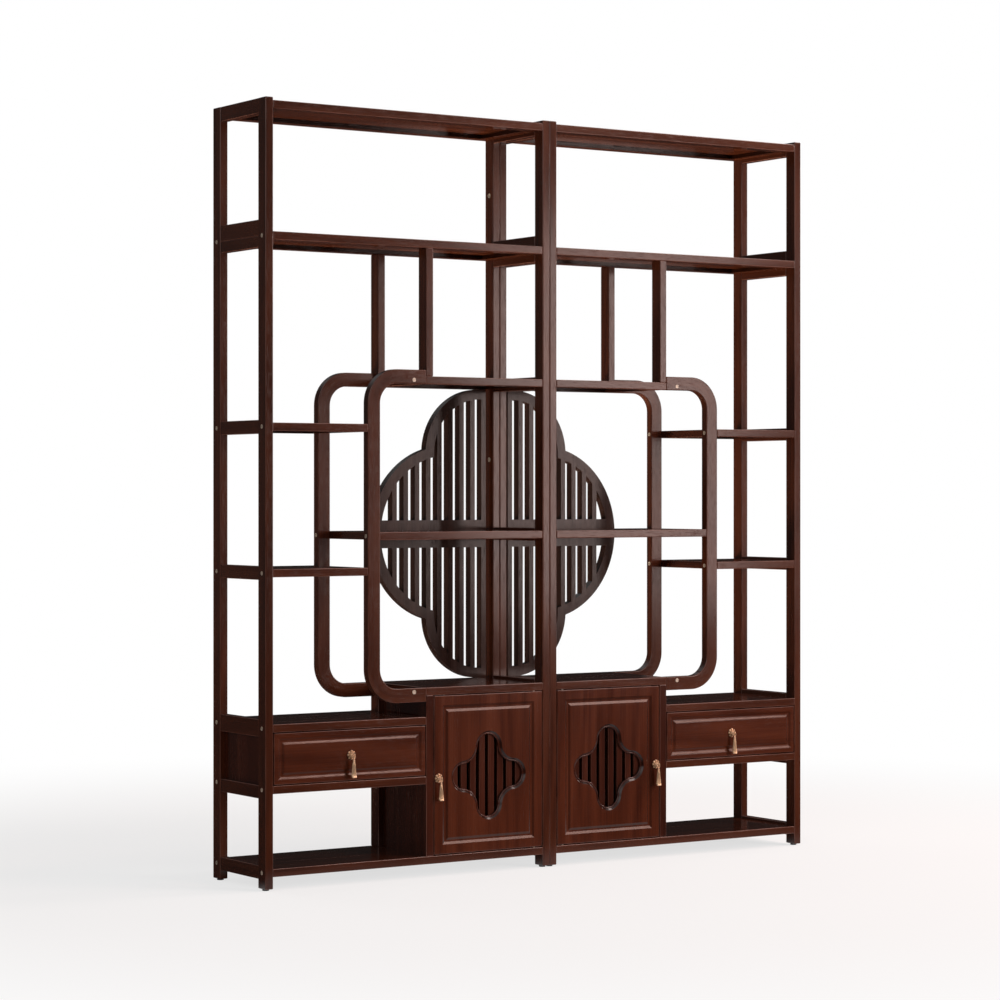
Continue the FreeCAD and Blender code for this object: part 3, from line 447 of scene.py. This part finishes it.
def sink_sockets(work):
    """Sink a round socket into the bare face of each bolt's head."""
    bmesh.ops.recalc_face_normals(work, faces=work.faces)
    rounds = [face for face in work.faces if len(face.verts) > ROUND_CORNERS]
    discs = [face for face in rounds if face.calc_area() > HEAD_AREA]
    heads = [disc for disc in discs if disc.normal.x * disc.calc_center_median().x > 0]
    bmesh.ops.inset_individual(work, faces=heads, thickness=SOCKET_RIM, use_even_offset=True)
    bmesh.ops.inset_individual(
        work, faces=heads, thickness=SOCKET_TAPER, depth=-SOCKET_DEPTH, use_even_offset=True,
    )


def eased(name, node, body, slot, finish, width, sockets=False):
    """Copy of a solid with its sharp edges rounded, as sanding or turning leaves them."""
    work = bmesh.new()
    work.from_mesh(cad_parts[node].data)
    bmesh.ops.remove_doubles(work, verts=work.verts, dist=0.001 * MM)
    bmesh.ops.dissolve_limit(work, angle_limit=FLAT, verts=work.verts, edges=work.edges)
    sharp = [edge for edge in work.edges if edge.is_manifold and edge.calc_face_angle() > SHARP]
    bmesh.ops.bevel(
        work, geom=sharp, offset=width, offset_type="OFFSET", affect="EDGES",
        segments=2, profile=0.5, material=-1, clamp_overlap=True,
    )
    if sockets:
        sink_sockets(work)
    for face in work.faces:
        face.material_index = 0
    piece = finished(name, work, body, slot, finish, node)
    normals = piece.modifiers.new("flat_faces", "WEIGHTED_NORMAL")
    normals.weight = 100
    return piece


# Door and drawer fronts take painted shade on the slopes of their grooves and bevels
door_edges = outline_edges("door_leaf")
door_wood = stained_wood("door_wood", upright_grain, FRONT_STAIN, door_edges, groove_shade=0.75)
# The bead is door wood in the darker panel stain, as painted shade
shaded_bead_wood = stained_wood("shaded_bead_wood", upright_grain, PANEL_STAIN, roughness=0.12, satin=0.35, wear_and_highlight=0.0)
drawer_edges = outline_edges("drawer_front")
drawer_face_wood = stained_wood(
    "drawer_face_wood", lengthwise_grain, FRONT_STAIN, drawer_edges, groove_shade=0.5,
)
lattice_wood = stained_wood("lattice_wood", upright_grain, LATTICE_STAIN, face_edges, satin=0.18)
grille_wood = stained_wood("grille_wood", upright_grain, PANEL_STAIN)
EASED = {
    "lattice_plates": ("lattice", "case", "lattice_wood", lattice_wood, LATTICE_EASE),
    "door_panel": ("door_leaf", "{side}_door", "front_wood", door_wood, FRONT_EASE),
    "door_bars": ("door_grille", "{side}_door", "grille_wood", grille_wood, SMALL_EASE),
    "drawer_face": ("drawer_front", "{side}_drawer", "front_wood", drawer_face_wood, FRONT_EASE),
    "drawer_tray": ("drawer_box", "{side}_drawer", "drawer_wood", drawer_wood, SMALL_EASE),
}
for label, (node, body, slot, finish, width) in EASED.items():
    for side in SIDES:
        eased(f"{side}_{label}", f"{side}_{node}", body.format(side=side), slot, finish, width)
eased("drawer_slides", "drawer_runners", "case", "drawer_wood", drawer_wood, SMALL_EASE)
eased("cupboard_catches", "door_catches", "case", "catch_plastic", catch_plastic, SMALL_EASE)
eased("post_glides", "foot_glides", "case", "glide_plastic", glide_plastic, SMALL_EASE)
eased("shelf_bolts", "knockdown_fittings", "case", "fitting_steel", bolt_metal, BOLT_EASE)
eased("unit_bolts", "joining_bolts", "case", "fitting_steel", bolt_metal, BOLT_EASE, sockets=True)


def wire_circle(work, segments, wire, spot, arm, axis):
    """Small circle at a spot, as the cut end of a wire that runs square to its arm and axis."""
    verts = bmesh.ops.create_circle(work, segments=segments, radius=wire)["verts"]
    stand = Matrix((arm, axis, arm.cross(axis))).transposed().to_4x4()
    bmesh.ops.transform(work, matrix=Matrix.Translation(spot) @ stand, verts=verts)
    edges = dict.fromkeys(edge for vert in verts for edge in vert.link_edges)
    return verts + list(edges)


# Bead that runs round the quatrefoil opening of a door, on the inner edge of its bevel
DOOR_FIELD = 235 * MM
FOIL_DROP = 7 * MM
LOBE_RADIUS = 0.1328 * DOOR_FIELD
LOBE_OFFSET = 0.2982 * DOOR_FIELD
SHOULDER = 0.3197 * DOOR_FIELD
LOBE_STEPS = 40
HOLLOW_STEPS = 20
BEAD_SEGMENTS = 14
BEAD_RADIUS = 2.3 * MM
BEAD_OUT = 1.0 * MM
BEAD_DEPTH = 5.9 * MM


def foil_bead(name, node, body, finish):
    """Round bead swept along four lobes and the four hollows between them."""
    low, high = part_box(node)
    centre = Vector(((low.x + high.x) / 2, low.y + BEAD_DEPTH, (low.z + high.z) / 2 - FOIL_DROP))
    lean = math.atan2(SHOULDER, SHOULDER - LOBE_OFFSET)
    bend = math.pi / 2 - 2 * lean
    across = Vector((math.cos(lean), 0, -math.sin(lean)))
    spot = centre + SIDEWAYS * LOBE_OFFSET + across * (LOBE_RADIUS + BEAD_OUT)
    work = bmesh.new()
    ring = wire_circle(work, BEAD_SEGMENTS, BEAD_RADIUS, spot, across, REARWARD)
    for quarter in range(4):
        turn = Matrix.Rotation(quarter * math.pi / 2, 3, FORWARD)
        lobe = centre + turn @ (SIDEWAYS * LOBE_OFFSET)
        hollow = centre + turn @ ((SIDEWAYS + UP) * SHOULDER)
        for middle, angle, steps in ((lobe, 2 * lean, LOBE_STEPS), (hollow, bend, HOLLOW_STEPS)):
            swept = bmesh.ops.spin(work, geom=ring, cent=middle, axis=FORWARD, angle=angle, steps=steps)
            ring = swept["geom_last"]
    tidied(work)
    return finished(name, work, body, "front_wood", finish)


for side in SIDES:
    foil_bead(f"{side}_door_bead", f"{side}_door_leaf", f"{side}_door", shaded_bead_wood)


# Tassel pulls

PULL_STEPS = 96
PETALS = 8
PETAL_DIP = 0.07
# Shares of painted shade in the gaps between the petals and between the bud's lobes
PETAL_PAINTED_SHADE = 0.9
BUD_DIP = 0.08
BUD_PAINTED_SHADE = 0.8
CREASE = 3
FOLD = 4.0
BUD_RADIUS = 7.1 * MM
STEM_RADIUS = 3.0 * MM
ROSE_RADIUS = 11.2 * MM
ROSE_BACK = 1.0 * MM
# Radius and height in millimetres, from the back of the rose to the tip of its stem
ROSE_PROFILE = (
    (0.0, 0.0), (10.8, 0.0), (11.2, 0.4), (11.2, 1.5), (10.9, 2.6), (10.1, 3.7), (9.0, 4.3),
    (8.0, 4.1), (7.3, 3.2), (7.1, 3.4), (7.0, 4.8), (6.5, 6.2), (5.6, 7.3), (4.5, 7.8),
    (3.7, 7.2), (3.0, 6.9), (2.9, 8.0), (2.3, 8.9), (1.8, 9.4), (1.7, 10.0), (1.7, 10.8),
    (0.0, 10.9),
)
WIRE_SEGMENTS = 16
RING_STEPS = 48
EYE_OUT = 13 * MM
EYE_RADIUS = 2.9 * MM
EYE_WIRE = 1.15 * MM
RING_RADIUS = 4.0 * MM
RING_WIRE = 0.85 * MM
# Radius and height in millimetres, from the cap under the ring to the inside of the rim
TASSEL_PROFILE = (
    (0.0, -7.2), (1.3, -7.4), (2.1, -8.4), (2.3, -9.6), (1.9, -10.8), (1.9, -11.4),
    (3.0, -11.9), (3.2, -12.7), (2.7, -13.4), (2.9, -14.6), (3.3, -18.0), (3.8, -24.0),
    (4.3, -32.0), (4.9, -40.0), (5.5, -46.0), (6.1, -49.0), (6.7, -50.8), (7.0, -51.4),
    (7.0, -52.6), (6.6, -53.3), (5.6, -53.3), (4.8, -51.6), (0.0, -50.6),
)
SKIRT_TOP = -15.5 * MM
SKIRT_FOOT = -50.2 * MM
SKIRT_TOP_FADE = 6 * MM
SKIRT_FOOT_FADE = 2 * MM
LONG_EDGE = 2.5 * MM
THREADS = 16
THREAD_DEPTH = 0.080


def turned(work, profile, along, centre):
    """Turn a profile of radius and height about an axis, as on a lathe."""
    points = [centre + SIDEWAYS * (radius * MM) + along * (height * MM) for radius, height in profile]
    verts = [work.verts.new(point) for point in points]
    edges = [work.edges.new(pair) for pair in zip(verts, verts[1:])]
    bmesh.ops.spin(
        work, geom=verts + edges, cent=centre, axis=along,
        angle=2 * math.pi, steps=PULL_STEPS, use_merge=True,
    )


def wire_ring(work, radius, wire, centre, axis):
    """Upright ring of round wire: a small circle turned about the ring's axis."""
    circle = wire_circle(work, WIRE_SEGMENTS, wire, centre + UP * radius, UP, axis)
    bmesh.ops.spin(
        work, geom=circle, cent=centre, axis=axis,
        angle=2 * math.pi, steps=RING_STEPS, use_merge=True,
    )


def rosette(name, node, body, finish):
    """Domed rose of eight petals with a bud of eight more, a turned stem and an eye."""
    low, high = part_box(node)
    centre = Vector(((low.x + high.x) / 2, high.y, (low.z + high.z) / 2))
    work = bmesh.new()
    # The hollow layer carries painted shade into the gaps of the rose
    hollow = work.verts.layers.float.new("hollow")
    turned(work, ROSE_PROFILE, FORWARD, centre)
    for vert in work.verts:
        arm = vert.co - centre
        reach = math.hypot(arm.x, arm.z)
        turn = math.atan2(arm.z, arm.x)
        petal = abs(math.sin(PETALS * turn / 2)) ** CREASE
        bud = abs(math.cos(PETALS * turn / 2)) ** CREASE
        if reach > BUD_RADIUS:
            dip = PETAL_DIP * petal * (reach - BUD_RADIUS) / (ROSE_RADIUS - BUD_RADIUS)
            vert[hollow] = PETAL_PAINTED_SHADE * petal
        elif reach > STEM_RADIUS and -arm.y > ROSE_BACK:
            dip = BUD_DIP * bud * (reach - STEM_RADIUS) / (BUD_RADIUS - STEM_RADIUS)
            vert[hollow] = BUD_PAINTED_SHADE * bud
        else:
            dip = 0.0
        vert.co.x = centre.x + arm.x * (1.0 - dip)
        vert.co.z = centre.z + arm.z * (1.0 - dip)
        if -arm.y > ROSE_BACK:
            vert.co.y = centre.y - ROSE_BACK + (arm.y + ROSE_BACK) * (1.0 - FOLD * dip)
    wire_ring(work, EYE_RADIUS, EYE_WIRE, centre + FORWARD * EYE_OUT, SIDEWAYS)
    tidied(work)
    return finished(name, work, body, "pull_brass", finish, node)


def tassel(name, node, rose_node, body, finish):
    """Ring and tassel that hang in the rose's eye, the skirt worked into threads."""
    low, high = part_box(rose_node)
    eye = Vector(((low.x + high.x) / 2, high.y - EYE_OUT, (low.z + high.z) / 2))
    work = bmesh.new()
    # The hollow layer carries painted shade into the gaps between the threads
    hollow = work.verts.layers.float.new("hollow")
    turned(work, TASSEL_PROFILE, UP, eye)
    tidied(work)
    long_edges = [edge for edge in work.edges if edge.calc_length() > LONG_EDGE]
    bmesh.ops.subdivide_edges(work, edges=long_edges, cuts=2, use_grid_fill=True)
    for vert in work.verts:
        arm = vert.co - eye
        level = arm.z
        if SKIRT_FOOT < level < SKIRT_TOP:
            from_top = (SKIRT_TOP - level) / SKIRT_TOP_FADE
            from_foot = (level - SKIRT_FOOT) / SKIRT_FOOT_FADE
            wave = min(1.0, from_top, from_foot) * math.cos(THREADS * math.atan2(arm.y, arm.x))
            vert.co.x = eye.x + arm.x * (1.0 + THREAD_DEPTH * wave)
            vert.co.y = eye.y + arm.y * (1.0 + THREAD_DEPTH * wave)
            vert[hollow] = max(0.0, -wave)
    wire_ring(work, RING_RADIUS, RING_WIRE, eye - UP * RING_RADIUS, REARWARD)
    tidied(work)
    return finished(name, work, body, "pull_brass", finish, node)


# The pulls' metal takes painted shade in its hollows
pull_brass = metal("pull_brass", PULL_BRASS, roughness=0.30, scale=220, shade_hollows=True)
for side in SIDES:
    for owner in ("drawer", "door"):
        pull = f"{side}_{owner}_pull"
        rosette(f"{side}_{owner}_rosette", f"{pull}_rose", f"{side}_{owner}", pull_brass)
        tassel(f"{side}_{owner}_tassel", f"{pull}_drop", f"{pull}_rose", pull, pull_brass)


# Studio: floor, light and camera

CAMERA_SPOT = (-4.0104, -5.9597, 0.9265)
CAMERA_YAW = math.radians(33.483)
CAMERA_LENS = 103.086
CAMERA_SENSOR = 36.0
CAMERA_DROP = -0.00757
CAMERA_FAR = 100.0
BLACK = (0.0, 0.0, 0.0, 1.0)
WHITE = (1.0, 1.0, 1.0, 1.0)
FLOOR_RADIUS = 9.0
FLOOR_PALE = (0.92, 0.92, 0.92, 1.0)
FLOOR_BOUNCE = (0.84, 0.80, 0.74, 1.0)
FLOOR_SHARE = 0.70
FLOOR_CLEARS = (1.2, 3.2)
FLOOR_IN_GLOSS = 0.04
FLOOR_GLOW_STRIP = 0.8
DIM_LIGHT = 0.16

# Strengths of the studio's sides as gloss shows them
FRONT_GLOW = 0.14
RIGHT_GLOW = 1.6
FACING_GLOW = 1.7
BEHIND_GLOW = 0.06
ABOVE_GLOW = 0.8
LEAST_GLOW = 0.015

# Where the lamps point, and their colours
MIDDLE = (0.0, 0.0, 0.95)
LOW_FRONT = (0.0, -0.1, 0.3)
PLAIN = (1.0, 1.0, 1.0)
WARM = (1.0, 0.80, 0.75)
LOW_WARM = (1.0, 0.82, 0.62)
GROOVE_WARM = (1.0, 0.62, 0.52)


def seen_rays(start):
    """Two shares of the rays: those straight or through glass, and those in gloss."""
    straight = start.node("LightPath", None, None, "Is Camera Ray")
    return straight.most(straight.out("Is Transmission Ray")), straight.out("Is Glossy Ray")


def studio_floor():
    """Pale floor that shows the cabinet's shadow and turns white far off.

    Gloss shows it dim, apart from a glowing strip under the cabinet, painted light for the reflections
    in the boards' lower edges.
    """
    work = bmesh.new()
    bmesh.ops.create_circle(work, cap_ends=True, segments=96, radius=FLOOR_RADIUS)
    mesh = bpy.data.meshes.new("floor")
    work.to_mesh(mesh)
    work.free()
    floor = bpy.data.objects.new("floor", mesh)
    bpy.context.scene.collection.objects.link(floor)
    material, start = new_finish("floor_white")
    shown, gloss = seen_rays(start)
    spot = place(start)
    distance = spot.node("VectorMath", {"operation": "LENGTH"}, {0: spot}, "Value")
    share = distance.band(*FLOOR_CLEARS) * (1 - FLOOR_SHARE) + FLOOR_SHARE
    x, y = spot.parts()[:2]
    # Painted light: a strip of floor under the cabinet glows for glossy rays
    near = y.band(-0.50, -0.20) * y.band(0.05, -0.10) * abs(x).band(1.1, 0.8)
    glow_strip = (near * FLOOR_GLOW_STRIP + FLOOR_IN_GLOSS).tint(BLACK, WHITE)
    white = start.node("Emission", None, {"Color": WHITE, "Strength": 1.0})
    dim = start.node("Emission", None, {"Color": glow_strip, "Strength": 1.0})
    pale = start.node("BsdfDiffuse", None, {"Color": FLOOR_PALE})
    bounce = start.node("BsdfDiffuse", None, {"Color": FLOOR_BOUNCE})
    seen = start.node("MixShader", None, {0: share, 1: pale, 2: white})
    unseen = start.node("MixShader", None, {0: gloss, 1: bounce, 2: dim})
    coat_surface(start, start.node("MixShader", None, {0: shown, 1: unseen, 2: seen}))
    mesh.materials.append(material)


def studio_surroundings():
    """White for straight rays, a dim even light, and for gloss a dim studio with lit sides."""
    world = bpy.data.worlds.new("studio")
    bpy.context.scene.world = world
    world.use_nodes = True
    world.node_tree.nodes.clear()
    start = Wire(world.node_tree)
    shown, gloss = seen_rays(start)
    x, y, z = start.node("TexCoord", None, None, "Generated").parts()
    across = x * math.sin(CAMERA_YAW)
    ahead = y * math.cos(CAMERA_YAW)
    front = (0.0 - y).band(0.2, 0.8) * FRONT_GLOW
    right = x.band(0.86, 0.98) * RIGHT_GLOW
    facing = (across + ahead).band(-0.50, -0.88) * z.band(0.0, 0.16) * FACING_GLOW
    behind = (ahead - across).band(0.60, 0.90) * BEHIND_GLOW
    above = z.band(0.35, 0.70) * ABOVE_GLOW
    in_gloss = front.most(right).most(facing).most(behind).most(above) + LEAST_GLOW
    unseen = gloss * in_gloss + (1 - gloss) * DIM_LIGHT
    strength = shown + (1 - shown) * unseen
    light = start.node("Background", None, {"Color": WHITE, "Strength": strength})
    start.node("OutputWorld", None, {"Surface": light})


def softbox(name, spot, target, size, power, in_gloss, colour=PLAIN):
    lamp = bpy.data.lights.new(name, "AREA")
    lamp.color = colour
    lamp.shape = "RECTANGLE"
    lamp.size, lamp.size_y = size
    lamp.energy = power
    box = bpy.data.objects.new(name, lamp)
    bpy.context.scene.collection.objects.link(box)
    box.location = spot
    box.rotation_euler = (Vector(target) - Vector(spot)).to_track_quat("-Z", "Y").to_euler()
    box.visible_glossy = in_gloss
    box.visible_camera = False


def studio_camera():
    lens = bpy.data.cameras.new("camera")
    lens.sensor_width = CAMERA_SENSOR
    lens.lens = CAMERA_LENS
    lens.shift_y = CAMERA_DROP
    lens.clip_end = CAMERA_FAR
    camera = bpy.data.objects.new("camera", lens)
    bpy.context.scene.collection.objects.link(camera)
    camera.location = CAMERA_SPOT
    camera.rotation_euler = (math.pi / 2, 0, -CAMERA_YAW)
    bpy.context.scene.camera = camera


studio_floor()
studio_surroundings()
softbox("key_softbox", (5.2, -7.4, 2.0), MIDDLE, (3.4, 3.4), 445.0, False)
softbox("front_softbox", (2.95, -4.0, 1.24), MIDDLE, (1.14, 1.64), 39.0, True, WARM)
softbox("edge_softbox", (4.4, -1.3, 2.0), LOW_FRONT, (0.7, 0.6), 36.0, True, WARM)
softbox("groove_softbox", (3.85, -4.4, 3.95), (3.0, -0.2, 0.3), (3.2, 1.5), 140.0, True, GROOVE_WARM)
softbox("top_softbox", (2.0, -0.5, 3.6), (-0.1, -0.1, 0.3), (1.8, 1.0), 44.0, True, WARM)
softbox("left_fill", (-3.6, -3.2, 2.0), MIDDLE, (2.4, 2.4), 38.0, False)
softbox("rear_fill", (-1.5, 4.2, 2.4), MIDDLE, (3.0, 2.4), 36.0, False)
softbox("low_rear_fill", (0.1, 1.7, 0.05), (0.1, 1.7, 2.0), (2.6, 1.6), 280.0, False, LOW_WARM)
studio_camera()
bpy.context.scene.view_settings.view_transform = "Standard"
